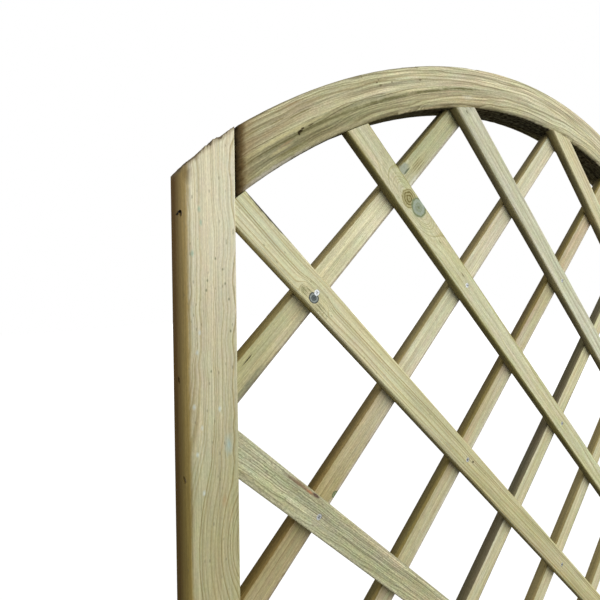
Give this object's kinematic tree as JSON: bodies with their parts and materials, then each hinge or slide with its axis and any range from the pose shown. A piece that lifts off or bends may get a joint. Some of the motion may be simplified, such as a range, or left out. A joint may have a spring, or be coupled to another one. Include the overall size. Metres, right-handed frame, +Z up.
{
  "type": "arched garden trellis panel",
  "caption": "Arched garden trellis panel: square timber stiles, a bent top rail of glued layers, a bottom rail and a diagonal lattice of screwed slats for climbing plants.",
  "frame": {"origin": "on the ground at the middle of the panel's width and depth", "axes": "+Z up to the crown of the arch, +X across the panel to the right seen from the front, +Y from the front to the back"},
  "size_m": [0.9, 0.044, 1.7999],
  "materials": {
    "stile_timber": "planed pressure-treated pine, pale yellow-green, matt",
    "arch_timber": "planed pressure-treated pine, glued in layers, brown-green bands along the curve",
    "slat_timber": "planed pressure-treated pine with knots, olive-brown on the edges",
    "dowel_timber": "plain turned hardwood",
    "galvanised_steel": "zinc plated"
  },
  "bodies": {
    "root": {"left_stile": "stile_timber", "right_stile": "stile_timber", "bottom_rail": "stile_timber", "arch_outer_layer": "arch_timber", "arch_inner_layer": "arch_timber", "front_slat_01": "slat_timber", "front_slat_02": "slat_timber", "front_slat_03": "slat_timber", "front_slat_04": "slat_timber", "front_slat_05": "slat_timber", "front_slat_06": "slat_timber", "front_slat_07": "slat_timber", "front_slat_08": "slat_timber", "front_slat_09": "slat_timber", "front_slat_10": "slat_timber", "front_slat_11": "slat_timber", "back_slat_01": "slat_timber", "back_slat_02": "slat_timber", "back_slat_03": "slat_timber", "back_slat_04": "slat_timber", "back_slat_05": "slat_timber", "back_slat_06": "slat_timber", "back_slat_07": "slat_timber", "back_slat_08": "slat_timber", "back_slat_09": "slat_timber", "back_slat_10": "slat_timber", "back_slat_11": "slat_timber", "crossing_screws": "galvanised_steel", "left_stile_nails": "galvanised_steel", "right_stile_nails": "galvanised_steel", "arch_nails": "galvanised_steel", "rail_nails": "galvanised_steel", "rail_screws": "galvanised_steel", "arch_dowels": "dowel_timber"}
  },
  "joints": []
}
